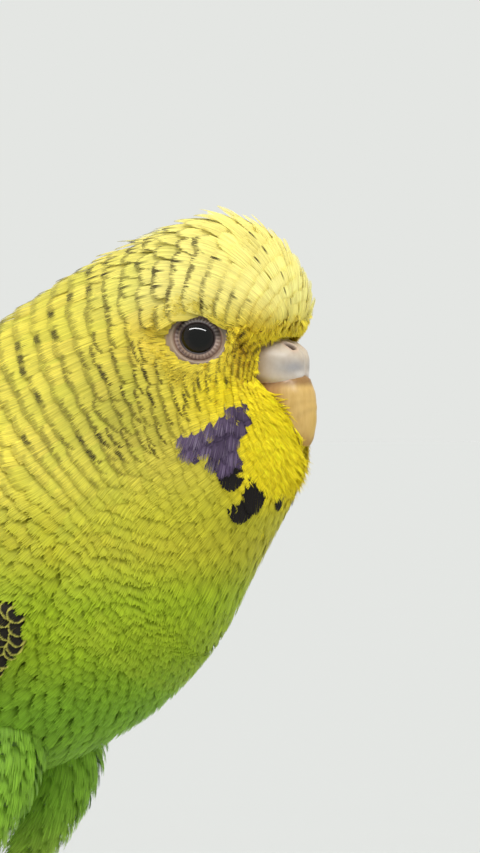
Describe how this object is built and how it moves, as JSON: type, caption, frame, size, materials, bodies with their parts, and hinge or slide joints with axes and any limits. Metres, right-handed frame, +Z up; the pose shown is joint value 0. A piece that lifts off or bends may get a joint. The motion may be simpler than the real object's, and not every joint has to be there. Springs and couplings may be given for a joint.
{
  "type": "budgerigar model",
  "caption": "Life-size still model of a green budgerigar standing on the floor, with a yellow barred head, whitish cere and a long tapered tail.",
  "frame": {"origin": "on the floor, under the middle of the bird's box", "axes": "+Z up, the bird faces -Y, and its left side is +X"},
  "size_m": [0.0504, 0.196, 0.108],
  "materials": {
    "yellow_feathers": "soft yellow feathers with dark brown bars",
    "green_feathers": "soft yellow-green feathers",
    "wing_feathers": "blackish feathers with yellow edges",
    "tail_feathers": "smooth dark blue tail feathers",
    "scaled_skin": "blue-grey scaled skin",
    "eye": "wet, glossy, nearly black",
    "cere": "smooth waxy skin",
    "bill_horn": "smooth satin horn",
    "claw_horn": "dark satin horn"
  },
  "bodies": {
    "root": {"head": "yellow_feathers", "neck": "yellow_feathers", "trunk": "green_feathers", "tail": "tail_feathers", "wing_left": "wing_feathers", "wing_right": "wing_feathers", "leg_left": "green_feathers", "leg_right": "green_feathers", "foot_left": "scaled_skin", "foot_right": "scaled_skin", "eye_left": "eye", "eye_right": "eye", "cere": "cere", "bill_upper": "bill_horn", "bill_lower": "bill_horn", "claw_back_inner_left": "claw_horn", "claw_back_inner_right": "claw_horn", "claw_front_inner_left": "claw_horn", "claw_front_inner_right": "claw_horn", "claw_front_outer_left": "claw_horn", "claw_front_outer_right": "claw_horn", "claw_back_outer_left": "claw_horn", "claw_back_outer_right": "claw_horn"}
  },
  "joints": []
}
